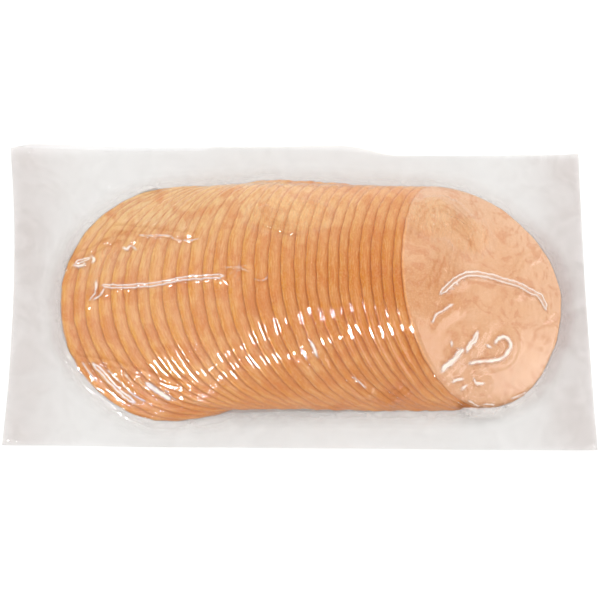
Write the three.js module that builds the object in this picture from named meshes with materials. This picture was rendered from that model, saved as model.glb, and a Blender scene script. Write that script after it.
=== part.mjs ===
// A sealed pack of sliced ham, lying flat. Round slices are shingled along the pack, each one shifted
// towards +X from the slice below, so that only a curved strip of each shows and the last slice lies on
// top. Clear film is drawn tight over the fan, and its flat margin runs all round. Millimetres, +Z up,
// X along the pack, origin on the ground under the middle of the film.

import * as THREE from 'three';

// Film: two layers sealed together, flat under the ham and a little wavy at the margin.
const FILM_LENGTH = 283;
const FILM_WIDTH = 150.5;
const FILM_THICKNESS = 0.5;
const SIDE_SLANT = 2.6;
const NEAR_SLANT = 2.4;
const LEFT_BOW = 3.2;
const RIGHT_BOW = 0.4;
const WIDE_STRIP = 4.4;
const STRIP_END = 36;
const STRIP_EASE = 14;
const CORNER_DROP = 1.6;
const CORNER_REACH = 9;
const MARGIN_START = 5;
const MARGIN_FULL = 28;
const MARGIN_LIFT = 2.1;
const CORNER_LIFT = 1.6;

// Ham: the fan lies on the film, clear of it by the gap.
const GAP = 0.3;
const SLICES = 29;
const SLICE_THICKNESS = 1.8;
const SLICE_RADIUS = 56;
const FAN_LEFT = -114.6;
const FAN_RIGHT = 127.6;
const WIDE_PITCH = 6.3;
const CLOSE_PITCH = 5.0;
const CLOSE_FROM = 18;
const RIM_WIDTH = 1.4;
const SOFT_BEND = 7;
const FAR_REACH = 57.4;
const NEAR_REACH = 56.2;
const RIGHT_Y = -1.5;

// Facets: across an edge, round the last slice, and along and across the film.
const ROWS = 32;
const FACE_RINGS = 8;
const FILM_COLUMNS = 46;
const FILM_ROWS = 24;

const LAST = SLICES - 1;
const HAM_BASE = FILM_THICKNESS + GAP;
const mix = THREE.MathUtils.lerp;
const clamp = THREE.MathUtils.clamp;
const ease = THREE.MathUtils.smoothstep;

// Slices are laid by hand or by a machine that is never quite even.
const uneven = (i, size) => size * (0.6 * Math.sin(2.4 * i) + 0.4 * Math.sin(5.1 * i + 1));

// One slice seen from above: four quarter ellipses between its left, far, right and near points. The
// slices further on lean up the fan, so their left side is drawn in and shows less round.
function sliceOutline(i) {
  const close = Math.max(0, i - CLOSE_FROM);
  const left = FAN_LEFT + WIDE_PITCH * (i - close) + CLOSE_PITCH * close + uneven(i, i > 0 ? 0.5 : 0);
  const right = mix(FAN_LEFT + 2 * SLICE_RADIUS, FAN_RIGHT, i / LAST);
  const far = FAR_REACH - 3.1 * (1 - Math.min(i / 10, 1)) - 2.9 * ease(i, 11, LAST) + uneven(i + 3, 0.15);
  const near = -NEAR_REACH - 4.8 * (1 - ease(i, 0, 4)) + 0.8 * ease(i, 22, LAST) - uneven(i, 0.15);
  const farRound = mix(56, 20, ease(i, 3, 17));
  const nearRound = mix(56, 46, ease(i, 0, 14)) - 5 * ease(i, 22, LAST);
  const leftY = mix(-3, 6, ease(i, 0, 10));
  return { left, right, far, near, farRound, nearRound, leftY };
}

const OUTLINES = Array.from({ length: SLICES }, (_, i) => sliceOutline(i));

// How far along its quarter a point lies, from 0 at the left or right point to 1 at the far or near one.
function reach(o, middle, y) {
  const share = y > middle ? (y - middle) / (o.far - middle) : (middle - y) / (middle - o.near);
  return clamp(share, 0, 1);
}

function leftEdge(o, y) {
  const round = y > o.leftY ? o.farRound : o.nearRound;
  return o.left + round * (1 - Math.sqrt(1 - reach(o, o.leftY, y) ** 2));
}

function rightEdge(o, y) {
  const share = reach(o, RIGHT_Y, y);
  const round = o.right - o.left - (y > RIGHT_Y ? o.farRound : o.nearRound);
  const curve = y > RIGHT_Y ? (1 - share ** 1.75) ** 0.55 : Math.sqrt(1 - share ** 2);
  return o.right - round * (1 - curve);
}

// How many slices have already ended to the left of a point. The count starts softly, as a slice that
// passes over the ends of those below bends down to them over some width.
function slicesEnded(x, y) {
  const first = rightEdge(OUTLINES[0], y);
  const ended = (LAST * (x - first)) / (rightEdge(OUTLINES[LAST], y) - first);
  return ended > SOFT_BEND ? ended : Math.max(0, ended + SOFT_BEND) ** 2 / (4 * SOFT_BEND);
}

// Top face of slice i: it lies on every slice below it that reaches this point.
const faceHeight = (i, x, y) => HAM_BASE + SLICE_THICKNESS * (1 + Math.max(0, i - slicesEnded(x, y)));

// The angle of a row, from -90 degrees at the near point to 90 at the far one.
const rowSine = (row) => Math.sin(Math.PI * (row / ROWS - 0.5));

function rowY(o, row, middle) {
  const sine = rowSine(row);
  return middle + sine * (sine > 0 ? o.far - middle : middle - o.near);
}

function leftPoint(o, row, inset) {
  const y = rowY(o, row, o.leftY);
  return { x: leftEdge(o, y) + inset, y };
}

// The columns of a slice run along its left edge: the foot of the rim on the slice below, the top of
// the rim, and the middle of the strip that shows before the next slice starts.
function sliceColumns(i) {
  const foot = [];
  const crest = [];
  const strip = [];
  for (let row = 0; row <= ROWS; row += 1) {
    const a = leftPoint(OUTLINES[i], row, 0);
    const rimTop = leftPoint(OUTLINES[i], row, RIM_WIDTH);
    const below = i > 0 ? faceHeight(i - 1, a.x, a.y) : HAM_BASE + SLICE_THICKNESS / 2;
    foot.push(new THREE.Vector3(a.x, a.y, below));
    crest.push(new THREE.Vector3(rimTop.x, rimTop.y, faceHeight(i, rimTop.x, rimTop.y)));
    if (i < LAST) {
      const next = leftPoint(OUTLINES[i + 1], row, 0);
      const x = (rimTop.x + next.x) / 2;
      const y = (rimTop.y + next.y) / 2;
      strip.push(new THREE.Vector3(x, y, faceHeight(i, x, y)));
    }
  }
  return i < LAST ? [foot, crest, strip] : [foot, crest];
}

// Collects points and triangles into one closed body.
class Body {
  constructor() {
    this.positions = [];
    this.triangles = [];
  }

  add(point) {
    this.positions.push(point.x, point.y, point.z);
    return this.positions.length / 3 - 1;
  }

  // Two lines of points of one length are joined by a strip that faces left of the first line.
  join(first, second) {
    for (let k = 0; k + 1 < first.length; k += 1) {
      this.triangles.push(first[k], second[k], second[k + 1]);
      this.triangles.push(first[k], second[k + 1], first[k + 1]);
    }
  }

  geometry() {
    const geometry = new THREE.BufferGeometry();
    geometry.setAttribute('position', new THREE.Float32BufferAttribute(this.positions, 3));
    geometry.setIndex(this.triangles);
    geometry.computeVertexNormals();
    return geometry;
  }
}

// The fan as one body: the stepped top, the whole face of the last slice, an upright side and a flat
// underside that lies on the film.
function hamFan() {
  const body = new Body();
  const columns = [];
  for (let i = 0; i < SLICES; i += 1) {
    columns.push(...sliceColumns(i).map((column) => column.map((point) => body.add(point))));
  }
  for (let c = 0; c + 1 < columns.length; c += 1) body.join(columns[c], columns[c + 1]);

  // The last slice: its left rim and its outline on the right make a loop, and rings close it.
  const last = OUTLINES[LAST];
  const rim = columns[columns.length - 1];
  const outline = [];
  for (let row = ROWS - 1; row > 0; row -= 1) {
    const y = rowY(last, row, RIGHT_Y);
    const x = rightEdge(last, y);
    outline.push(body.add(new THREE.Vector3(x, y, faceHeight(LAST, x, y))));
  }
  const loop = [...rim, ...outline];
  const at = (index) => new THREE.Vector3().fromArray(body.positions, 3 * index);
  const centre = new THREE.Vector3((last.left + last.right) / 2, 0, 0);
  centre.z = faceHeight(LAST, centre.x, centre.y);
  let outer = [...loop, loop[0]];
  for (let ring = 1; ring < FACE_RINGS; ring += 1) {
    const inner = loop.map((index) => {
      const point = at(index).lerp(centre, ring / FACE_RINGS);
      point.z = faceHeight(LAST, point.x, point.y);
      return body.add(point);
    });
    inner.push(inner[0]);
    body.join(outer, inner);
    outer = inner;
  }
  const middle = body.add(centre);
  for (let k = 0; k + 1 < outer.length; k += 1) body.triangles.push(outer[k], middle, outer[k + 1]);

  // The outline all round, anticlockwise from above, starting at the near end of the first slice.
  const nearSide = columns.slice(1, -1).map((column) => column[0]);
  const farSide = columns.slice(1, -1).map((column) => column[ROWS]);
  const firstRim = columns[0];
  const round = [firstRim[0], ...nearSide, rim[0], ...outline.slice().reverse(), rim[ROWS]];
  round.push(...farSide.reverse(), ...firstRim.slice(1).reverse());
  const foot = round.map((index) => body.add(at(index).setZ(HAM_BASE)));
  body.join([...round, round[0]], [...foot, foot[0]]);
  const contour = foot.map((index) => new THREE.Vector2(at(index).x, at(index).y));
  for (const [a, b, c] of THREE.ShapeUtils.triangulateShape(contour, [])) {
    body.triangles.push(foot[a], foot[c], foot[b]);
  }
  return body.geometry();
}

// The film's outline: the sides slant and bow a little, and a wider strip of the far side ends past the
// middle. The far left corner is cut slightly short.
function filmPoint(along, across) {
  const half = FILM_LENGTH / 2;
  const belly = 4 * across * (1 - across);
  const leftX = -half + SIDE_SLANT * (1 - across) + LEFT_BOW * belly;
  const rightX = half - SIDE_SLANT * across - RIGHT_BOW * belly;
  const x = mix(leftX, rightX, along);
  const nearY = -FILM_WIDTH / 2 + NEAR_SLANT * (1 - along);
  const strip = WIDE_STRIP * ease(x, STRIP_END - STRIP_EASE, STRIP_END + STRIP_EASE);
  const corner = CORNER_DROP * ease(-x, half - CORNER_REACH, half);
  return { x, y: mix(nearY, FILM_WIDTH / 2 - strip - corner, across) };
}

// The margin lifts off the ground in soft waves that start past the ham and grow to the corners.
function filmLift(x, y) {
  const spine = clamp(x, FAN_LEFT + SLICE_RADIUS, FAN_RIGHT - SLICE_RADIUS);
  const fromFan = Math.hypot(x - spine, y) - SLICE_RADIUS;
  const share = ease(fromFan, MARGIN_START, MARGIN_FULL);
  const waves = 0.55 * Math.sin(x / 23 + 0.6) + 0.35 * Math.sin(x / 11.5 + y / 19 + 2);
  const corner = ease(fromFan, MARGIN_FULL, 1.7 * MARGIN_FULL);
  return share * (MARGIN_LIFT * (1 + waves) + CORNER_LIFT * corner);
}

function filmWeb() {
  const body = new Body();
  const over = [];
  const under = [];
  for (let c = 0; c <= FILM_COLUMNS; c += 1) {
    const top = [];
    const bottom = [];
    for (let r = 0; r <= FILM_ROWS; r += 1) {
      const { x, y } = filmPoint(c / FILM_COLUMNS, r / FILM_ROWS);
      const lift = filmLift(x, y);
      top.push(body.add(new THREE.Vector3(x, y, lift + FILM_THICKNESS)));
      bottom.push(body.add(new THREE.Vector3(x, y, lift)));
    }
    over.push(top);
    under.push(bottom);
  }
  for (let c = 0; c < FILM_COLUMNS; c += 1) {
    body.join(over[c], over[c + 1]);
    body.join(under[c + 1], under[c]);
  }
  body.join(under[0], over[0]);
  body.join(over[FILM_COLUMNS], under[FILM_COLUMNS]);
  body.join(over.map((column) => column[0]), under.map((column) => column[0]));
  body.join(under.map((column) => column[FILM_ROWS]), over.map((column) => column[FILM_ROWS]));
  return body.geometry();
}

const filmMaterial = new THREE.MeshStandardMaterial({ color: 0xe2dedb, roughness: 0.22, metalness: 0 });
const hamMaterial = new THREE.MeshStandardMaterial({ color: 0xdc9c6c, roughness: 0.3, metalness: 0 });

const pack = new THREE.Group();
const film = new THREE.Mesh(filmWeb(), filmMaterial);
film.name = 'film_web';
const ham = new THREE.Mesh(hamFan(), hamMaterial);
ham.name = 'ham_slices';
pack.add(film, ham);

export default pack;
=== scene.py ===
import math

import bmesh
import bpy
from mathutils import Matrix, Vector, noise
from mathutils.bvhtree import BVHTree
from mathutils.kdtree import KDTree


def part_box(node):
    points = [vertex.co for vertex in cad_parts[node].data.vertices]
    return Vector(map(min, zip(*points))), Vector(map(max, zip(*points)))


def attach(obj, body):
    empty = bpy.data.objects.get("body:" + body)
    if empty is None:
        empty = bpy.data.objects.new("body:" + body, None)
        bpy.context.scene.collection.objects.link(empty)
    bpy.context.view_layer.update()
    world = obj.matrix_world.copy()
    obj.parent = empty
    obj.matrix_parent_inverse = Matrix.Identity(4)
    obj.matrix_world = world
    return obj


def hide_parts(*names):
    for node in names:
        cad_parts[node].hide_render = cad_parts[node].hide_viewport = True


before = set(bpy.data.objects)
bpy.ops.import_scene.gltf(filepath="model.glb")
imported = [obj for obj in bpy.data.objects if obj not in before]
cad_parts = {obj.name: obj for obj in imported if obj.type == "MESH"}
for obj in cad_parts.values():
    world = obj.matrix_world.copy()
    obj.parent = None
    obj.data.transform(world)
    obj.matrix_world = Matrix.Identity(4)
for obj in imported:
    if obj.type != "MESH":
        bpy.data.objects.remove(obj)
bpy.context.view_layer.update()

# ---------------------------------------------------------------------------------------------------
# The ham slices: round, thin slices of cooked ham with a golden brown rind, shingled towards +X.
# Each is a disc bent over the pile: it lies on the slices below it, and sinks to the film where they
# end, so only its left strip shows until the last one, which lies whole on top. Sizes here are in mm.

MM = 0.001
fan_low, fan_high = [Vector(corner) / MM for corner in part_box("ham_slices")]
web_high = Vector(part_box("film_web")[1]) / MM

SLICES = 29
LAST = SLICES - 1
THICKNESS = 1.8
RADIUS = 56.0
WIDE_PITCH = 6.3
CLOSE_PITCH = 5.0
CLOSE_FROM = 18
SOFT_BEND = 7.0
RIGHT_Y = -1.5
HAM_BASE = 0.35
SLICE_GAP = 0.03


def mix(a, b, share):
    return a + (b - a) * share


def ease(value, start, end):
    share = min(max((value - start) / (end - start), 0.0), 1.0)
    return share * share * (3 - 2 * share)


def uneven(i, size):
    return size * (0.6 * math.sin(2.4 * i) + 0.4 * math.sin(5.1 * i + 1))


def far_right_curve(share):
    """The far right quarter of a slice, which is a little flatter than an ellipse."""
    return (1 - share**1.75) ** 0.55


class Outline:
    """One slice seen from above: quarter ellipses between its left, far, right and near points. The
    two at the left are far_round and near_round wide."""

    def __init__(self, i):
        close = max(0, i - CLOSE_FROM)
        self.left = fan_low.x + WIDE_PITCH * (i - close) + CLOSE_PITCH * close
        self.left += uneven(i, 0.5 if i > 0 else 0)
        self.right = mix(fan_low.x + 2 * RADIUS, fan_high.x, i / LAST)
        self.far = 57.4 - 3.1 * (1 - min(i / 10, 1)) - 2.9 * ease(i, 11, LAST) + uneven(i + 3, 0.15)
        self.near = -56.2 - 4.8 * (1 - ease(i, 0, 4)) + 0.8 * ease(i, 22, LAST) - uneven(i, 0.15)
        self.far_round = mix(56, 20, ease(i, 3, 17))
        self.near_round = mix(56, 46, ease(i, 0, 14)) - 5 * ease(i, 22, LAST)
        self.left_y = mix(-3, 6, ease(i, 0, 10))

    def point(self, angle):
        """The point of the outline at an angle, counted anticlockwise from the right point."""
        c, s = math.cos(angle), math.sin(angle)
        middle = RIGHT_Y if c > 0 else self.left_y
        y = middle + s * (self.far - middle if s > 0 else middle - self.near)
        left_side = self.far_round if s > 0 else self.near_round
        if c <= 0:
            return self.left + left_side * (1 + c), y
        curve = far_right_curve(s) if s > 0 else c
        return self.right - (self.right - self.left - left_side) * (1 - curve), y

    def right_edge(self, y):
        """How far to the right the slice reaches at a place across it."""
        far_side = y > RIGHT_Y
        share = min((y - RIGHT_Y) / ((self.far if far_side else self.near) - RIGHT_Y), 1.0)
        length = self.right - self.left - (self.far_round if far_side else self.near_round)
        curve = far_right_curve(share) if far_side else math.sqrt(1 - share * share)
        return self.right - length * (1 - curve)


outlines = [Outline(i) for i in range(SLICES)]


def pile_height(i, x, y):
    """How high the underside of slice i lies at a point, on all slices below that reach it."""
    first = outlines[0].right_edge(y)
    ended = LAST * (x - first) / (outlines[LAST].right_edge(y) - first)
    soft = min(SOFT_BEND, 0.5 * i)
    if soft > 0 and ended < soft:
        ended = max(0.0, ended + soft) ** 2 / (4 * soft)
    return HAM_BASE + THICKNESS * max(0.0, i - max(ended, 0.0))


RIM_STEPS = 3
RIM_INSET = (0.35, 0.0, 0.25, 0.95)
RIM_BLEND = 12
THINNEST = 0.6 * THICKNESS
EDGE_WAVE = 0.7
AROUND = 128
RINGS_MM = (0.6, 1.2, 1.9, 2.7, 3.5, 4.4, 5.4, 6.6, 9.0, 14.0, 24.0, 38.0)
EDGE_POINTS = 900


def slice_edge(i, angle):
    """A point of slice i's edge, which is a little uneven, and the middle that its angle is seen from."""
    shape = outlines[i]
    edge = Vector(shape.point(angle))
    middle = Vector(((shape.left + shape.right) / 2, 0))
    turn = Vector((math.cos(angle), math.sin(angle), 3.7 * i))
    wave = noise.noise(turn * 2.2) + 0.6 * noise.noise(turn * 9.0) + 0.3 * noise.noise(turn * 24.0)
    return edge + (edge - middle).normalized() * EDGE_WAVE * wave, middle


def beyond(i, tree, place):
    """How far a point lies outside the edge of slice i, and less than nothing inside it."""
    nearest, _, away = tree.find((place.x, place.y, 0))
    middle = slice_edge(i, 0)[1]
    return math.copysign(away, (place - middle).length - (nearest.xy - middle).length)


def thicken(bm, thickness):
    """Raises a copy of a sheet, joined to it along the rim, which makes a closed body of it."""
    raised = bmesh.ops.extrude_face_region(bm, geom=bm.faces[:])["geom"]
    top = [v for v in raised if isinstance(v, bmesh.types.BMVert)]
    bmesh.ops.translate(bm, vec=(0, 0, thickness), verts=top)


def bent_slice(i):
    """A flat disc with a rounded rim, laid over the pile as slice i. It keeps how far each point is
    from the slice's edge and from the next slice, and how far up the rim it is, for the colours."""
    next_edge = KDTree(EDGE_POINTS)
    for k in range(EDGE_POINTS if i < LAST else 0):
        next_edge.insert((*slice_edge(i + 1, math.tau * k / EDGE_POINTS)[0], 0), k)
    next_edge.balance()
    bm = bmesh.new()
    bmesh.ops.create_circle(bm, cap_ends=True, segments=AROUND, radius=RADIUS)
    bm.faces.ensure_lookup_table()
    middle = bm.faces[0]
    done = 0.0
    for ring in RINGS_MM:
        bmesh.ops.inset_individual(bm, faces=[middle], thickness=ring - done, use_even_offset=False)
        done = ring
    bmesh.ops.poke(bm, faces=[middle])
    thicken(bm, 1)
    sides = [e for e in bm.edges if abs(e.verts[0].co.z - e.verts[1].co.z) > 0.5]
    bmesh.ops.subdivide_edges(bm, edges=sides, cuts=RIM_STEPS - 1)
    bmesh.ops.recalc_face_normals(bm, faces=bm.faces[:])

    edge_layer = bm.verts.layers.float.new("from_edge")
    next_layer = bm.verts.layers.float.new("to_next")
    rise_layer = bm.verts.layers.float.new("rise")
    for vert in bm.verts:
        radius = vert.co.xy.length / RADIUS
        rise = vert.co.z
        angle = math.atan2(vert.co.y, vert.co.x)
        edge, middle = slice_edge(i, angle)
        inset = RADIUS * (1 - radius)
        if radius > 0.999:
            inset = RIM_INSET[round(rise * RIM_STEPS)]
        elif rise > 0.5:
            inset = max(inset, 0) + RIM_INSET[-1] * (1 - min(inset / RIM_BLEND, 1))
        place = mix(edge, middle, min(inset / RADIUS, 1))
        low = pile_height(i, place.x, place.y)
        high = pile_height(i + 1, place.x, place.y) - SLICE_GAP
        high = max(high, low + THINNEST)
        vert.co = (place.x, place.y, mix(low, high, rise))
        vert[edge_layer] = inset
        vert[next_layer] = beyond(i + 1, next_edge, place) if i < LAST else RADIUS
        vert[rise_layer] = rise
    return bm


DROOP = 2.4
SWELL = 0.7
HALF_FAN = 55


def settle(bm):
    """The whole pile sinks a little towards its sides, and has soft hollows and swellings. All slices
    move together, so that none leaves the ones below it."""
    for vert in bm.verts:
        x, y, z = vert.co
        swell = noise.noise(Vector((x / 21, y / 17, 4.1))) + 0.5 * noise.noise(Vector((x / 9, y / 8, 1.3)))
        sink = DROOP * (y / HALF_FAN) ** 2
        vert.co.z = z + (SWELL * swell - sink) * ease(z, 1.0, 22)


def finished(bm, name, smooth=True):
    """Turns a bmesh in mm into an object in metres at the origin."""
    bmesh.ops.scale(bm, vec=(MM, MM, MM), verts=bm.verts[:])
    for face in bm.faces:
        face.smooth = smooth
    mesh = bpy.data.meshes.new(name)
    bm.to_mesh(mesh)
    bm.free()
    piece = bpy.data.objects.new(name, mesh)
    bpy.context.scene.collection.objects.link(piece)
    return piece


class Signal:
    """A shader socket. Sums, differences, products and quotients of signals add their Math nodes."""

    def __init__(self, tree, socket=None):
        self.tree = tree
        self.socket = socket

    def node(self, kind, settings=None, inputs=None, output=0):
        """Adds a node, with its settings first and then the value or link of each socket."""
        made = self.tree.nodes.new(kind)
        for name, value in (settings or {}).items():
            setattr(made, name, value)
        for key, value in (inputs or {}).items():
            if isinstance(value, Signal):
                self.tree.links.new(value.socket, made.inputs[key])
            else:
                made.inputs[key].default_value = value
        return Signal(self.tree, made.outputs[output]) if made.outputs else None

    def math(self, operation, first, second):
        return self.node("ShaderNodeMath", {"operation": operation}, {0: first, 1: second})

    def __add__(self, other):
        return self.math("ADD", self, other)

    def __sub__(self, other):
        return self.math("SUBTRACT", self, other)

    def __rsub__(self, other):
        return self.math("SUBTRACT", other, self)

    def __mul__(self, other):
        return self.math("MULTIPLY", self, other)

    def __truediv__(self, other):
        return self.math("DIVIDE", self, other)

    __radd__ = __add__
    __rmul__ = __mul__

    def ramp(self, low, high):
        """0 below low and 1 above high, smoothly between."""
        inputs = {0: self, 1: low, 2: high, 3: 0.0, 4: 1.0}
        return self.node("ShaderNodeMapRange", {"interpolation_type": "SMOOTHSTEP"}, inputs)

    def blend(self, low, high):
        """Mixes two colours by this signal."""
        return self.node("ShaderNodeMix", {"data_type": "RGBA"}, {0: self, 6: low, 7: high}, 2)


def new_material(name):
    material = bpy.data.materials.new(name)
    material.use_nodes = True
    material.node_tree.nodes.clear()
    return material, Signal(material.node_tree)


def colour(red, green, blue):
    """A colour given as it looks on a screen, in 255ths."""
    def straight(value):
        value /= 255
        return value / 12.92 if value <= 0.04045 else ((value + 0.055) / 1.055) ** 2.4
    return (*[straight(value) for value in (red, green, blue)], 1.0)


FILM_VEIL = 0.045
LIT = 0.98


def under_film(tone):
    """The colour of a surface that looks like this tone under the lamps and through the film."""
    return (*[max(0.0, (value - FILM_VEIL) / LIT) for value in colour(*tone)[:3]], 1.0)


def cloud_maker(s, place):
    """Gives the function that adds a noise pattern at a place, stretched along an axis or not."""
    def cloud(scale, detail=3.0, distortion=0.0, stretch=(1, 1, 1)):
        vector = s.node("ShaderNodeVectorMath", {"operation": "MULTIPLY"}, {0: place, 1: stretch})
        inputs = {"Vector": vector, "Scale": scale, "Detail": detail, "Distortion": distortion}
        return s.node("ShaderNodeTexNoise", inputs=inputs)
    return cloud


def attribute(s, name):
    """A value that the mesh keeps at its points."""
    return s.node("ShaderNodeAttribute", {"attribute_name": name}, output=2)


def ham_material(name, whole, tones):
    """Cooked ham, for the whole slice or for one of which a strip shows: a golden rind along the edge
    and a pinker cut face, both deeper in tone to the right, with a pale painted reflection at the far
    side, mottling, fibres and a dark line of painted shade where a slice meets the next."""
    material, s = new_material(name)
    place = s.node("ShaderNodeTexCoord", output=3)
    along = s.node("ShaderNodeSeparateXYZ", inputs={0: place})
    across = s.node("ShaderNodeSeparateXYZ", inputs={0: place}, output=1)
    from_edge, to_next, rise = [attribute(s, layer) for layer in ("from_edge", "to_next", "rise")]
    tones = [under_film(tone) for tone in tones]
    pale_rind, deep_rind, pale_meat, deep_meat, far_reflection_tone, near_tone, fat, lean, dark = tones
    cloud = cloud_maker(s, place)

    # Where the pack is paler or deeper in tone, in metres, with a wandering border. The paler far side is
    # a painted reflection of the film.
    drift = (cloud(26) - 0.5) * 0.05
    to_far = (across + drift).ramp(0.000, 0.046)
    to_near = 1 - (across + drift).ramp(-0.056, -0.012)
    deep = (along + drift).ramp(-0.09, 0.04) * (1 - 0.5 * to_far)
    # The rind: a line round the whole slice, and the free edge of a strip up to where it goes under.
    if whole:
        rind = 1 - (from_edge + cloud(90, 2)).ramp(0.9, 2.4)
        shade = 0.0
    else:
        share = from_edge / (from_edge + s.math("MAXIMUM", to_next, 0.05))
        rind = 1 - (share + (cloud(60, 3) - 0.5) * 0.6).ramp(0.25, 0.7)
        # Painted shade, darker across each strip towards where the next slice starts.
        shade = share.ramp(0.7, 1.0) * 0.35
    base = rind.blend(deep.blend(pale_meat, deep_meat), deep.blend(pale_rind, deep_rind))
    # Painted reflection: the far side is blended towards a paler tone, as the film's veil looks there.
    base = (to_far * (0.75 - 0.5 * deep)).blend(base, far_reflection_tone)
    base = (to_near * 0.5).blend(base, near_tone)
    # The whole slice pales to the right. The strips are golden at the far edge and the near left, and
    # streaked along their length.
    if whole:
        base = (along.ramp(0.075, 0.125) * 0.5).blend(base, fat)
    else:
        edge_gold = across.ramp(0.042, 0.055) * cloud(45, 3).ramp(0.4, 0.6) * along.ramp(-0.03, 0.02)
        low_gold = (1 - across.ramp(-0.060, -0.050)) * (1 - along.ramp(-0.07, -0.03))
        base = (s.math("MAXIMUM", edge_gold, low_gold) * 0.55).blend(base, deep_rind)
        strip = s.node("ShaderNodeCombineXYZ", inputs={0: from_edge, 1: across * 140, 2: along * 60})
        lines = s.node("ShaderNodeTexNoise", inputs={"Vector": strip, "Scale": 1.3, "Detail": 3.0})
        base = (lines.ramp(0.46, 0.66) * 0.42).blend(base, lean)
        base = ((1 - lines.ramp(0.34, 0.5)) * 0.35).blend(base, fat)
        base = (to_far * along.ramp(-0.01, 0.05) * 0.45).blend(base, near_tone)
    # Pale patches, swirls of leaner meat, fibres and fine specks.
    patches = cloud(38, 4, 0.4).ramp(0.46, 0.72)
    base = (patches * 0.35).blend(base, fat)
    swirls = cloud(70 if whole else 95, 5, 3.2 if whole else 0.5).ramp(0.50, 0.62)
    base = (swirls * 0.38).blend(base, lean)
    fibres = cloud(620, 2, 0.0, (1, 0.22, 1)).ramp(0.42, 0.66)
    base = (fibres * (0.10 if whole else 0.25)).blend(base, lean)
    base = (cloud(1100, 2).ramp(0.45, 0.7) * 0.22).blend(base, fat)
    # Painted shade: a dark line at a slice's foot, and where the next slice starts.
    foot = (1 - rise.ramp(0.0, 1.0)) * (1 - from_edge.ramp(0.4, 1.1))
    groove = s.math("MAXIMUM", foot * 0.5, (1 - to_next.ramp(-0.2, 1.3)) * 0.5)
    base = s.math("MAXIMUM", groove, shade).blend(base, dark)
    grain = cloud(420, 3) + 0.6 * fibres
    bump = s.node("ShaderNodeBump", inputs={"Strength": 0.3, "Distance": 0.0004, "Height": grain})
    shader = s.node("ShaderNodeBsdfPrincipled", inputs={
        "Base Color": base,
        "Roughness": 0.5,
        "Specular IOR Level": 0.25,
        "Normal": bump,
    })
    s.node("ShaderNodeOutputMaterial", inputs={0: shader})
    return material


# Tones: pale and deep rind, pale and deep meat, the far side's painted reflection, the near side, fat,
# lean meat, and the painted shade of the grooves.
strip_ham = ham_material("strip ham", False, (
    (222, 162, 88), (205, 130, 34), (228, 174, 130), (216, 144, 80), (230, 206, 162), (218, 148, 86),
    (234, 190, 138), (206, 126, 80), (204, 124, 50)))
top_ham = ham_material("top slice ham", True, (
    (220, 158, 104), (220, 158, 104), (216, 164, 122), (216, 162, 120), (222, 192, 166), (230, 186, 154),
    (242, 206, 176), (202, 132, 92), (205, 140, 90)))

covered = bmesh.new()
for i in range(SLICES):
    bm = bent_slice(i)
    settle(bm)
    name = f"slice_{i + 1:02d}"
    piece = finished(bm, name)
    piece.data.materials.append(top_ham if i == LAST else strip_ham)
    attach(piece, "root")
    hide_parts("ham_slices")
    covered.from_mesh(piece.data)
pile = BVHTree.FromBMesh(covered)
covered.free()

# ---------------------------------------------------------------------------------------------------
# The bottom film: a sheet of clear film, flat under the ham and lifted in soft waves at the margin.
# It is a grid fitted to the pack's outline and given its thickness.

SHEET = 0.12
half_length = web_high.x
half_width = web_high.y


def film_outline(along, across):
    """The film's point at shares along and across it. The left side bows inwards, and the far side is
    drawn in at the right."""
    belly = 4 * across * (1 - across)
    left_x = -half_length + 2.6 * (1 - across) + 3.2 * belly
    right_x = half_length - 2.6 * across - 0.4 * belly
    x = mix(left_x, right_x, along)
    near_y = -half_width + 2.4 * (1 - along)
    far_y = half_width - 4.4 * ease(x, 22, 50) - 1.6 * ease(-x, half_length - 9, half_length)
    return x, mix(near_y, far_y, across)


def spine_at(x):
    """The point of the fan's middle line that is nearest to x."""
    return min(max(x, fan_low.x + RADIUS), fan_high.x - RADIUS)


def film_lift(x, y):
    """How high the film lies: on the ground under the fan, and in waves at the margin."""
    away = math.hypot(x - spine_at(x), y) - RADIUS
    waves = 0.55 * math.sin(x / 23 + 0.6) + 0.35 * math.sin(x / 11.5 + y / 19 + 2)
    return ease(away, 5, 28) * (2.1 * (1 + waves) + 1.6 * ease(away, 28, 47.6))


# The darker tint painted on the flanks of folds, as shade.
FLANK_SHADE_TINT = (0.86, 0.72, 0.56, 1)
MIRRORED = 0.025
MIRRORED_AT_EDGE = 0.6


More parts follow.
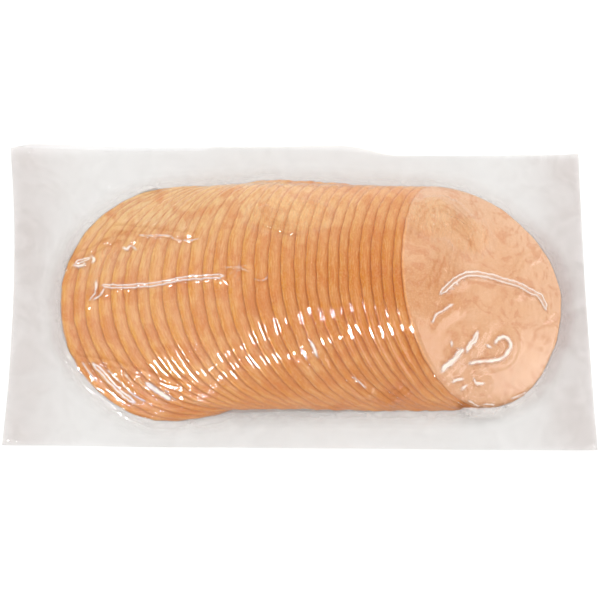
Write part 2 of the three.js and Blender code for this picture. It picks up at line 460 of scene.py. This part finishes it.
def film_material(name, haze, tint):
    """Clear glossy film: what is behind it shows, through a faint grey haze, and both faces mirror
    the lamps. It is paler where it stands off the ham (loose), has a painted halo of light beside the ham
    (beside), painted glints on the edges of folds (fold) and painted shade on their flanks (flank)."""
    material, s = new_material(name)
    place = s.node("ShaderNodeTexCoord", output=3)
    along = s.node("ShaderNodeSeparateXYZ", inputs={0: place})
    loose, fold, flank, beside = [attribute(s, layer) for layer in ("loose", "fold", "flank", "beside")]
    cloud = cloud_maker(s, place)
    broad = cloud(24, 4)
    fine = cloud(260, 3, 0.6)
    strokes = cloud(800, 2, 0.0, (1, 0.18, 1))
    ends = (along * along).ramp(0.0090, 0.0185)  # by the square of the distance from the middle
    crinkle = s.node("ShaderNodeBump", inputs={
        "Strength": 1.0,
        "Distance": 0.001,
        "Height": fine * (0.03 + 0.2 * loose) + broad * 0.25,
    })
    haze_tone = ends.blend(colour(240, 236, 233), colour(208, 192, 187))
    haze_tone = loose.ramp(0.12, 0.4).blend(haze_tone, colour(250, 216, 168))
    # The milk turns white on fold edges (fold): painted glints.
    milk = s.node("ShaderNodeBsdfPrincipled", inputs={
        "Base Color": fold.blend(haze_tone, colour(255, 243, 230)),
        "Roughness": 0.5,
        "Specular IOR Level": 0.0,
    })
    # Painted shade: the film is tinted darker on the flanks of folds (flank).
    clear = s.node("ShaderNodeMixShader", inputs={
        0: flank * 0.35,
        1: s.node("ShaderNodeBsdfTransparent", inputs={"Color": tint}),
        2: s.node("ShaderNodeBsdfTransparent", inputs={"Color": FLANK_SHADE_TINT}),
    })
    streaks = cloud(46, 5, 1.5).ramp(0.35, 0.7)
    dense = haze * (1 + 1.5 * ends) * (0.75 + 0.5 * streaks)
    dense = dense + loose * (0.05 + 0.14 * strokes.ramp(0.3, 0.75))
    # Painted glints on fold edges, and a painted halo of light beside the ham.
    dense = dense + 0.75 * fold + 0.34 * beside * (0.8 + 0.4 * streaks)
    veil = s.node("ShaderNodeMixShader", inputs={0: dense, 1: clear, 2: milk})
    shine = s.node("ShaderNodeBsdfGlossy", inputs={
        "Color": (1, 1, 1, 1),
        "Roughness": 0.08,
        "Normal": crinkle,
    })
    facing = s.node("ShaderNodeLayerWeight", inputs={"Blend": 0.5, "Normal": crinkle}, output=1)
    glance = s.math("POWER", facing, 5.0) * MIRRORED_AT_EDGE + MIRRORED
    both = s.node("ShaderNodeMixShader", inputs={0: glance, 1: veil, 2: shine})
    s.node("ShaderNodeOutputMaterial", inputs={0: both})
    return material


def film_layer(bm, side, haze, tint):
    """Gives a layer of the film its thickness and its finish, and puts it in the frame."""
    thicken(bm, SHEET)
    bmesh.ops.recalc_face_normals(bm, faces=bm.faces[:])
    layer = finished(bm, f"film_{side}")
    layer.data.materials.append(film_material(f"{side} film", haze, tint))
    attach(layer, "root")
    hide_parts("film_web")


BOTTOM_HAZE = 0.044
BOTTOM_TINT = (0.952, 0.951, 0.950, 1)

bm = bmesh.new()
bmesh.ops.create_grid(bm, x_segments=96, y_segments=52, size=1)
for vert in bm.verts:
    x, y = film_outline(vert.co.x / 2 + 0.5, vert.co.y / 2 + 0.5)
    vert.co = (x, y, film_lift(x, y))
film_layer(bm, "bottom", BOTTOM_HAZE, BOTTOM_TINT)

# ---------------------------------------------------------------------------------------------------
# The top film: drawn tight over the ham by the vacuum, with a step at each slice and a short slope
# down to the bottom film, where it is sealed. Its grid follows the slices' edges and is let down on
# the pile, stretched over the hollows, and then creased where the film was slack.

PER_SLICE = 6
ROWS = 80
FACE_COLUMNS = 44
CORNER_ANGLE = math.radians(52)
MARGIN_RINGS = 12
FILM_GAP = 0.12
SEAL_GAP = 0.06
INSET_EDGE = 2.3
TOP_HAZE = 0.012
TOP_TINT = (0.995, 0.993, 0.99, 1)


def row_angle(share):
    return math.pi * (share - 0.5)


def strip_point(place, share):
    """A point on the strips: place counts slices and share runs from the near end to the far end."""
    i = min(int(place), LAST - 1)
    angle = math.pi - row_angle(share)
    a, b = [Vector(outlines[k].point(angle)) for k in (i, i + 1)]
    return mix(a, b, place - i)


def face_point(along, share):
    """A point on the last slice's face, between its left edge and the right of its outline."""
    last = outlines[LAST]
    left = Vector(last.point(math.pi - row_angle(share)))
    right = Vector(last.point((2 * share - 1) * CORNER_ANGLE))
    low_turn = mix(-math.pi / 2, -CORNER_ANGLE, along)
    near = Vector(last.point(low_turn))
    far = Vector(last.point(-low_turn))
    across = (1 + math.sin(row_angle(share))) / 2
    corners = mix(mix(Vector(last.point(-math.pi / 2)), Vector(last.point(-CORNER_ANGLE)), along),
                  mix(Vector(last.point(math.pi / 2)), Vector(last.point(CORNER_ANGLE)), along), across)
    return mix(left, right, along) + mix(near, far, across) - corners


columns = PER_SLICE * LAST + FACE_COLUMNS
bm = bmesh.new()
loose_layer = bm.verts.layers.float.new("loose")
glint_paint_layer = bm.verts.layers.float.new("fold")
flank_shade_layer = bm.verts.layers.float.new("flank")
halo_light_layer = bm.verts.layers.float.new("beside")
bmesh.ops.create_grid(bm, x_segments=columns, y_segments=ROWS, size=1)
for vert in bm.verts:
    column = (vert.co.x / 2 + 0.5) * columns
    share = vert.co.y / 2 + 0.5
    if column <= PER_SLICE * LAST:
        point = strip_point(column / PER_SLICE, share)
    else:
        point = face_point((column - PER_SLICE * LAST) / FACE_COLUMNS, share)
    vert.co = (point.x, point.y, 0)


def seal_edge(along, across):
    """The top film's outline, a little inside the bottom film's at the far left."""
    x, y = film_outline(along, across)
    drawn_in = ease(x, -136, -131) * (1 - ease(x, -48, -40))
    return x, y - INSET_EDGE * drawn_in * across


FARTHEST = 200.0
HALVINGS = 22


def film_rim(x, y):
    """Where the ray from the fan's spine through a point meets the film's outline."""
    spine = Vector((spine_at(x), 0))
    ray = (Vector((x, y)) - spine).normalized()
    low, high = 0.0, FARTHEST
    for _ in range(HALVINGS):
        reach = (low + high) / 2
        at = spine + ray * reach
        across = min(max((at.y + half_width) / (2 * half_width), 0), 1)
        left_x = seal_edge(0, across)[0]
        right_x = seal_edge(1, across)[0]
        along = min(max((at.x - left_x) / (right_x - left_x), 0), 1)
        inside = left_x <= at.x <= right_x and seal_edge(along, 0)[1] <= at.y <= seal_edge(along, 1)[1]
        low, high = (reach, high) if inside else (low, reach)
    return spine + ray * low


rim = [e for e in bm.edges if e.is_boundary]
home = {v: v.co.xy.copy() for e in rim for v in e.verts}
goal = {v: film_rim(*v.co.xy) for v in home}
for corner in [Vector(seal_edge(along, across)) for along in (0, 1) for across in (0, 1)]:
    nearest = min(goal, key=lambda v: (goal[v] - corner).length)
    goal[nearest] = corner
for ring in range(1, MARGIN_RINGS + 1):
    made = bmesh.ops.extrude_edge_only(bm, edges=rim)["geom"]
    behind = {(round(v.co.x, 4), round(v.co.y, 4)): v for v in home}
    new_verts = [g for g in made if isinstance(g, bmesh.types.BMVert)]
    source = {v: behind[round(v.co.x, 4), round(v.co.y, 4)] for v in new_verts}
    home, goal = [{v: known[old] for v, old in source.items()} for known in (home, goal)]
    for vert in new_verts:
        vert.co.xy = mix(home[vert], goal[vert], (ring / MARGIN_RINGS) ** 1.8)
    rim = [g for g in made if isinstance(g, bmesh.types.BMEdge)]

# Creases of the slack film, each with its height, the half width of its flat top, how soft its flanks
# are, how much painted glint its edge gets (1 is painted white all over), and the points that it runs
# through: the long double fold on the left with its fork, the small folds at its right end, the folds
# behind it, the crumples at the far left, the loose pocket at the near left, the arched fold and the
# crumples on the last slice, the loose corner behind them, and thin creases of the margin.
creases = (
    (0.55, 0.75, 0.60, 0.7, (-93.4, 3.2), (-85.7, 2.1), (-79, 1.9), (-69, 2.1), (-60.5, 3.1), (-52.5, 4.0),
     (-44, 4.2), (-34, 3.9)),
    (0.45, 0, 0.80, 0.7, (-96.4, 5.4), (-96.5, 1), (-99.5, -3.7)),
    (0.45, 0, 0.80, 0.7, (-92.4, 1.8), (-94.1, -1.3), (-97.6, -3.4)),
    (0.40, 0, 0.80, 0.25, (-33.4, 8), (-27.3, 7.7), (-22.5, 5.5)),
    (0.35, 0, 0.80, 0.2, (-26.8, 12), (-27.3, 7.7), (-29.1, 3.3)),
    (0.35, 0, 0.80, 0.2, (-31.5, 4.6), (-27.3, 7.7), (-23.4, 8.7)),
    (0.35, 0, 0.80, 0.3, (-20.2, 1.8), (-17.2, 1), (-14.8, 1.6), (-13.8, 3.1)),
    (0.55, 0, 1.80, 0, (-89.2, 31.8), (-84, 31.9), (-77.6, 30.5), (-71.2, 29.3), (-64.6, 27.4),
     (-58.3, 26.3), (-52.8, 25.4), (-47.1, 24.5)),
    (0.35, 0, 0.70, 0.5, (-76.1, 27.4), (-68.5, 26.4), (-61.6, 25.9), (-57.7, 23.5), (-50.9, 22.5),
     (-46.8, 23.2)),
    (0.55, 0, 1.80, 0, (-106.1, 19.7), (-99.6, 21), (-93.3, 24.4), (-86.9, 26.4), (-81.1, 26.6)),
    (0.50, 0.70, 0.90, 0.7, (-108.2, 14.9), (-105.5, 16.2), (-102.3, 16.7), (-100.0, 17.7)),
    (0.40, 0.25, 0.90, 1, (-99.3, 18.5), (-98.2, 16.5), (-98.9, 14.8)),
    (0.40, 0.15, 0.90, 1, (-108.4, 14.4), (-105.2, 14.0), (-102.3, 14.7)),
    (0.35, 0, 0.90, 0.8, (-83.8, 21.6), (-81.9, 20.6), (-79.8, 22.2), (-77.1, 20)),
    (0.50, 0, 1.60, 0, (-107.8, -28.2), (-104.4, -31.4), (-94.8, -32.8), (-85.4, -35), (-76, -38.4),
     (-66.7, -41.1), (-60.5, -43.8), (-53, -44.7)),
    (0.60, 0.70, 1.30, 0.75, (-97.8, -33.8), (-92.9, -38.1), (-87.5, -43.9), (-82.1, -49.1),
     (-76.6, -53)),
    (0.60, 0, 1.60, 0.6, (-90.2, -37.4), (-85.4, -41.7), (-80, -47), (-75.7, -50.3), (-71.4, -52.5)),
    (0.45, 0, 1.20, 0.6, (-81.7, -39.4), (-79.7, -41.7), (-77.3, -44.6)),
    (0.45, 0, 1.20, 0.5, (-75.7, -40.6), (-74.2, -43), (-71.8, -46.1)),
    (0.60, 0.40, 1.40, 1, (-71.6, -43.9), (-67.5, -46.8), (-63.2, -49.6), (-59.4, -52)),
    (0.40, 0, 1.00, 0.4, (-62.4, -47.2), (-59.8, -49.9), (-57.1, -52.4)),
    (0.50, 0, 1.50, 0.6, (-102.7, -33.2), (-99.4, -37.8), (-95.7, -42.2)),
    (0.50, 0, 1.50, 0, (-80.3, -54.1), (-76.9, -55.9), (-73.6, -57.2), (-70.1, -58.3)),
    (0.40, 0, 1.00, 0, (-16.5, 29.6), (-11.8, 27.4), (-5.2, 24.7), (1.4, 23.7)),
    (0.35, 0, 0.80, 0, (-15.6, 33.8), (-11.8, 30.9), (-7.1, 28.7), (-2.4, 29)),
    (0.45, 0, 1.10, 0, (43.0, -50.6), (45.3, -49.2), (49.8, -46.8)),
    (0.30, 0, 0.90, 0.9, (1.8, -31.0), (3.2, -32.8), (4.3, -35.4)),
    (0.30, 0, 0.90, 0.9, (6.2, -27.2), (7.8, -30.6), (9.4, -34.3)),
    (0.40, 0, 1.30, 0.5, (26.3, -42.7), (29.2, -45.2), (32, -47.7)),
    (0.60, 0.95, 0.60, 0.75, (66.4, -5.2), (72, 0.6), (77, 4.4), (82, 6.0), (88.3, 6.2), (97, 4.6),
     (106, 2.5), (111, 0.3), (115.5, -1.5), (118, -4.5), (119.5, -8.7)),
    (0.45, 0, 0.90, 0.8, (62.5, -18.6), (64.8, -14.4), (67.8, -12.8), (70.9, -10.3), (72.8, -9.4)),
    (0.60, 0.35, 1.30, 1, (67.1, -40.5), (69.0, -38.1), (71.0, -36.5), (73.4, -34.3), (75.8, -31.4),
     (77.8, -29.7)),
    (0.60, 0.50, 1.10, 0.9, (79.2, -30.9), (80.7, -27.6), (83.2, -24.7), (84.7, -20.9)),
    (0.35, 0, 0.90, 0.9, (71.8, -28.7), (71.8, -26.4)),
    (0.35, 0, 0.90, 0.9, (89.1, -26.8), (91.4, -28.2)),
    (0.60, 0, 1.40, 1, (92.9, -26.3), (95.3, -23.5), (98.4, -22.9), (100.8, -26.1), (99.6, -29.4),
     (96.8, -32.5), (91.4, -34.3), (84.4, -35), (80.6, -36)),
    (0.45, 0, 1.10, 0.9, (72.3, -44.9), (74.4, -43.8), (77.5, -43.2)),
    (0.45, 0, 1.10, 0.9, (76.9, -47.8), (79.2, -46)),
    (0.45, 0, 1.10, 0.9, (82.9, -42.5), (83.8, -44.6), (87.6, -44.8)),
    (0.50, 0, 1.10, 0.6, (101.9, -50.7), (104.9, -49.5), (108.9, -47.5)),
    (0.45, 0, 1.50, 0, (54.2, 22.5), (56.5, 30.1), (59.8, 36.5), (64.5, 41), (70.6, 42.4)),
    (0.35, 0, 1.00, 0, (59.9, 29.4), (63.2, 36.3), (68.4, 39.3)),
    (0.40, 0, 1.00, 0, (67.4, 40.3), (73.3, 37.6), (77.9, 32.6), (82.5, 25.6), (84, 17.4)),
    (0.35, 0, 0.90, 0, (74.5, 40.6), (80.1, 35.1), (84.6, 28)),
    (0.35, 0, 0.90, 0, (64.7, 27.9), (71.8, 30.8), (78.6, 27.3)),
    (0.30, 0, 1.60, 0, (62.6, -4.2), (63.7, 3.5), (66.9, 10.7), (69.1, 17.9)),
    (0.25, 0, 1.40, 0, (71.5, 2.3), (72.8, 11.3), (75.1, 19.6)),
    (0.20, 0, 1.40, 0, (103.3, 0.2), (104.7, 9.3), (109.3, 16.9), (114.7, 19.5)),
    (0.30, 0, 0.80, 0, (-98.8, 57.2), (-89.9, 54.6), (-80.4, 52.5), (-72.1, 50)),
    (0.35, 0, 0.90, 0, (112.1, 34.7), (119.1, 39.8), (125.1, 42.8), (130.1, 44.4)),
    (0.35, 0, 1.10, 0, (130.1, 44.4), (133.8, 38.8), (134.8, 27.6)),
    (0.30, 0, 0.80, 0.5, (80.5, -52.5), (85, -54.5), (89, -53.8), (93.5, -54)),
    (0.30, 0, 0.80, 0, (97.5, -52.4), (101.7, -55.4), (105.4, -58.7)),
)
CREASE_STEP = 0.3
CREASE_REACH = 2.4
CREASE_WIDEST = 4.5
CREASE_WANDER = 0.4
CREST_SPAN = 12
CREST_MOST = 1.3
CALM_SPAN = 8
STEEP = (2.4, 4.5)
# How white the painted glint is on a fold's flat top, where the whole fold shines and elsewhere.
WHITE_ALL_OVER = 0.9
WHITE_BETWEEN = 0.12


def smooth_line(points):
    """Points every CREASE_STEP on a smooth curve through the given ones (Catmull-Rom)."""
    corners = [Vector(p) for p in points]
    corners = [2 * corners[0] - corners[1], *corners, 2 * corners[-1] - corners[-2]]
    line = []
    for a, b, c, d in zip(corners, corners[1:], corners[2:], corners[3:]):
        steps = max(2, round((c - b).length / CREASE_STEP))
        for k in range(steps):
            t = k / steps
            line.append(0.5 * (2 * b + (c - a) * t + (2 * a - 5 * b + 4 * c - d) * t**2
                               + (3 * b - a - 3 * c + d) * t**3))
    return line + [corners[-2]]


def pile_top(x, y):
    """How high the ham reaches at a point, or None beside it."""
    hit = pile.ray_cast(Vector((x, y, 100)) * MM, Vector((0, 0, -1)))[0]
    return None if hit is None else hit.z / MM


def rest_height(x, y):
    """Where the film lies on the pile, or on the bottom film beside it."""
    rest = film_lift(x, y) + SHEET + SEAL_GAP
    top = pile_top(x, y)
    return rest if top is None else max(rest, top + FILM_GAP)


def bridged(heights, window):
    """Heights along a crease without the grooves below it: the highest nearby, then evened out."""
    spans = [(max(0, k - window), k + window + 1) for k in range(len(heights))]
    crests = [max(heights[a:b]) for a, b in spans]
    return [sum(crests[a:b]) / len(crests[a:b]) for a, b in spans]


near_crease = KDTree(sum(len(smooth_line(crease[4:])) for crease in creases))
crease_at = []
for number, crease in enumerate(creases):
    line = smooth_line(crease[4:])
    rests = [rest_height(*point) for point in line]
    heights = [min(crest, rest + CREST_MOST) for crest, rest in zip(bridged(rests, CREST_SPAN), rests)]
    for k, point in enumerate(line):
        around = rests[max(0, k - CALM_SPAN):k + CALM_SPAN + 1]
        calm = 1 - ease(max(around) - min(around), *STEEP)  # a crease fades where the film is steep
        near_crease.insert((point.x, point.y, 0), len(crease_at))
        crease_at.append((number, min(k, len(line) - 1 - k) * CREASE_STEP, heights[k], calm))
near_crease.balance()


def creased(x, y, z):
    """The height of the film at a point with the creases in it, how much painted glint it gets on a
    fold's edge, and how much painted shade on a fold's flank."""
    nearest = {}
    for _, index, away in near_crease.find_range((x, y, 0), CREASE_WIDEST):
        number = crease_at[index][0]
        if number not in nearest or away < nearest[number][0]:
            nearest[number] = (away, index)
    top, glint_paint, flank = z, 0.0, 0.0
    for number, (away, index) in nearest.items():
        height, flat, soft, shine = creases[number][:4]
        _, from_end, crest, calm = crease_at[index]
        away = max(0.0, away + CREASE_WANDER * noise.noise(Vector((x, y, 5 * number)) * 0.45))
        flat *= ease(from_end, -0.6, 3)
        height *= ease(from_end, -0.6, 2.5) * calm
        level = 2 * math.exp(-(max(0.0, away - flat) / soft) ** 2) - 1
        if away < flat:
            level -= 0.5 * (1 - (away / flat) ** 2)
        top = max(top, crest + height * level, z + height * (level + 1) / 2)
        # Painted glint: white along the edge of the fold's flat top.
        white = math.exp(-((away - flat) / (0.1 + 0.1 * soft + 0.4 * shine * shine)) ** 2)
        if away < flat:
            white = max(white, WHITE_ALL_OVER if shine == 1 else WHITE_BETWEEN)
        glint_paint = max(glint_paint, ease(from_end, -0.6, 1.2) * shine * white)
        # Painted shade on the fold's flank, near its foot.
        foot = (away - flat - 0.95 * soft) / (0.25 * soft + 0.12)
        flank = max(flank, min(1.0, height / 0.4) * math.exp(-foot * foot))
    return top, glint_paint, flank


FINE_EDGE = 0.42
MIDDLE_EDGE = 0.62
COARSE_EDGE = 1.1
REFININGS = 4


def crease_length(x, y):
    """How long the film's edges may be at a point, by how near a crease is."""
    _, index, away = near_crease.find((x, y, 0))
    flat = creases[crease_at[index][0]][1]
    if away > CREASE_REACH:
        return math.inf
    if flat > 0 and away < flat + 0.8:
        return FINE_EDGE
    return MIDDLE_EDGE if away < 1.2 else COARSE_EDGE


for _ in range(REFININGS):
    middles = [(edge, (edge.verts[0].co + edge.verts[1].co) / 2) for edge in bm.edges]
    long_edges = [edge for edge, middle in middles if edge.calc_length() > crease_length(*middle.xy)]
    bmesh.ops.subdivide_edges(bm, edges=long_edges, cuts=1, use_grid_fill=True)

# Pockets where the film stands off the ham and looks paler and crinkled: middle, radii and amount.
pockets = (
    (-4, 34, 24, 12, 0.7),
    (64, 34, 15, 13, 1.0),
    (82, 26, 14, 13, 0.5),
    (-86, -44, 24, 9, 0.35),
    (-96, 16, 14, 7, 0.3),
    (92, -38, 22, 14, 0.12),
)


def looseness(x, y):
    """How slack the film is at a point."""
    amount = 0.0
    for middle_x, middle_y, radius_x, radius_y, most in pockets:
        away = math.hypot((x - middle_x) / radius_x, (y - middle_y) / radius_y)
        amount = max(amount, most * (1 - ease(away, 0.45, 1.1)))
    return amount


HALO = 9.0
RIM_POINTS = 240
RELAXINGS = 16
TIGHT_SHARE = 0.4
RELAX_STEP = 0.8
ham_rims = KDTree(SLICES * RIM_POINTS)
for i in range(SLICES):
    for k in range(RIM_POINTS):
        ham_rims.insert((*slice_edge(i, math.tau * k / RIM_POINTS)[0], 0), k)
ham_rims.balance()

lowest = {vert: rest_height(*vert.co.xy) for vert in bm.verts}
slack = {vert: looseness(*vert.co.xy) for vert in bm.verts}
for vert, rest in lowest.items():
    vert.co.z = rest
for turn in range(RELAXINGS):
    moving = [v for v in bm.verts if TIGHT_SHARE + slack[v] > turn / RELAXINGS and not v.is_boundary]
    level = {v: sum(e.other_vert(v).co.z for e in v.link_edges) / len(v.link_edges) for v in moving}
    for vert in moving:
        vert.co.z = max(lowest[vert], mix(vert.co.z, level[vert], RELAX_STEP))
bm.normal_update()
levelled = {vert: ease(abs(vert.normal.z), 0.3, 0.85) for vert in bm.verts}  # 0 on the steep sides
for vert in bm.verts:
    x, y, z = vert.co
    loose = slack[vert] * ease(z, 2, 5)
    swell = noise.noise(Vector((x / 5.5, y / 5.5, 8.2)))
    swell += 0.6 * noise.noise(Vector((x / 2.6, y / 2.6, 5.5)))
    lifted = z + 0.3 * loose * (1 + swell) + 0.04 * swell * ease(z, 2, 6)
    vert.co.z, vert[glint_paint_layer], vert[flank_shade_layer] = creased(x, y, lifted)
    on_ham = pile_top(x, y) is not None
    vert[flank_shade_layer] *= on_ham
    # A painted halo of light on the film beside the ham, fading out HALO mm from its edge, which lifts the
    # ham's shade there.
    beside = 0 if on_ham else 1 - ease(ham_rims.find((x, y, 0))[2], 0.5, HALO)
    vert[halo_light_layer] = beside * levelled[vert]
    vert[loose_layer] = max(loose, 0.1 * vert[halo_light_layer])
film_layer(bm, "top", TOP_HAZE, TOP_TINT)

# ---------------------------------------------------------------------------------------------------
# The stage: a plain pale floor, an evenly lit room with a soft lamp above, two small lamps that show
# only as glints, and a soft window at the right that shows only in reflections. The camera is almost
# straight above, a little towards the near side.

FLOOR_GAP = 0.2
FLOOR_HALF = 3000

bm = bmesh.new()
bmesh.ops.create_grid(bm, x_segments=1, y_segments=1, size=FLOOR_HALF)
bmesh.ops.translate(bm, vec=(0, 0, -FLOOR_GAP), verts=bm.verts[:])
floor = finished(bm, "floor", smooth=False)
material, s = new_material("floor")
paint = s.node("ShaderNodeBsdfPrincipled", inputs={
    "Base Color": (0.93, 0.93, 0.93, 1),
    "Roughness": 0.9,
    "Specular IOR Level": 0.1,
})
s.node("ShaderNodeOutputMaterial", inputs={0: paint})
floor.data.materials.append(material)

GLINT_SPREAD = 12


def lamp(name, place, target, size, power, mirrored):
    """A lamp that shows only in reflections, with a narrow beam, or one that shows in none."""
    light = bpy.data.lights.new(name, "AREA")
    light.shape = "RECTANGLE"
    light.size, light.size_y = size
    light.energy = power
    light.spread = math.radians(GLINT_SPREAD if mirrored else 180)
    made = bpy.data.objects.new(name, light)
    bpy.context.scene.collection.objects.link(made)
    made.location = place
    made.rotation_euler = (Vector(target) - Vector(place)).to_track_quat("-Z", "Y").to_euler()
    made.visible_glossy = mirrored
    made.visible_diffuse = not mirrored


lamp("softbox", (0.2, 0.6, 1.2), (0, 0, 0), (0.8, 0.8), 6.0, False)
lamp("glint left", (-0.66, -0.36, 1.1), (-0.085, -0.03, 0.01), (0.16, 0.12), 0.09, True)
lamp("glint near", (-0.48, -0.80, 1.1), (0.050, -0.02, 0.02), (0.14, 0.12), 0.1, True)

ROOM_LIGHT = 1.06
WINDOW = (0.80, -0.30, 0.52)
WINDOW_LIGHT = 2.3

world = bpy.data.worlds.new("room")
world.use_nodes = True
world.node_tree.nodes.clear()
s = Signal(world.node_tree)
towards = s.node("ShaderNodeTexCoord")
height = s.node("ShaderNodeSeparateXYZ", inputs={0: towards}, output=2)
window = s.node("ShaderNodeVectorMath", {"operation": "DOT_PRODUCT"}, {0: towards, 1: WINDOW}, 1)
glossy = s.node("ShaderNodeLightPath", output=3)
mirrored = 0.55 - 0.4 * height.ramp(0.3, 0.75) + WINDOW_LIGHT * window.ramp(0.9, 0.995)
strength = glossy * mirrored + (1 - glossy) * ROOM_LIGHT
sky = s.node("ShaderNodeBackground", inputs={"Color": (1, 1, 1, 1), "Strength": strength})
s.node("ShaderNodeOutputWorld", inputs={0: sky})
bpy.context.scene.world = world
bpy.context.scene.view_settings.view_transform = "Standard"
bpy.context.scene.cycles.transparent_max_bounces = 32  # fewer leave the film's folds black

AIM = Vector((1.35, -2.15, 0)) * MM
DISTANCE = 0.640
TILT = math.radians(12)
camera_data = bpy.data.cameras.new("camera")
camera_data.sensor_width = 36
camera_data.lens = 79.2
camera = bpy.data.objects.new("camera", camera_data)
bpy.context.scene.collection.objects.link(camera)
camera.location = AIM + Vector((0, -math.sin(TILT), math.cos(TILT))) * DISTANCE
camera.rotation_euler = (TILT, 0, 0)
bpy.context.scene.camera = camera
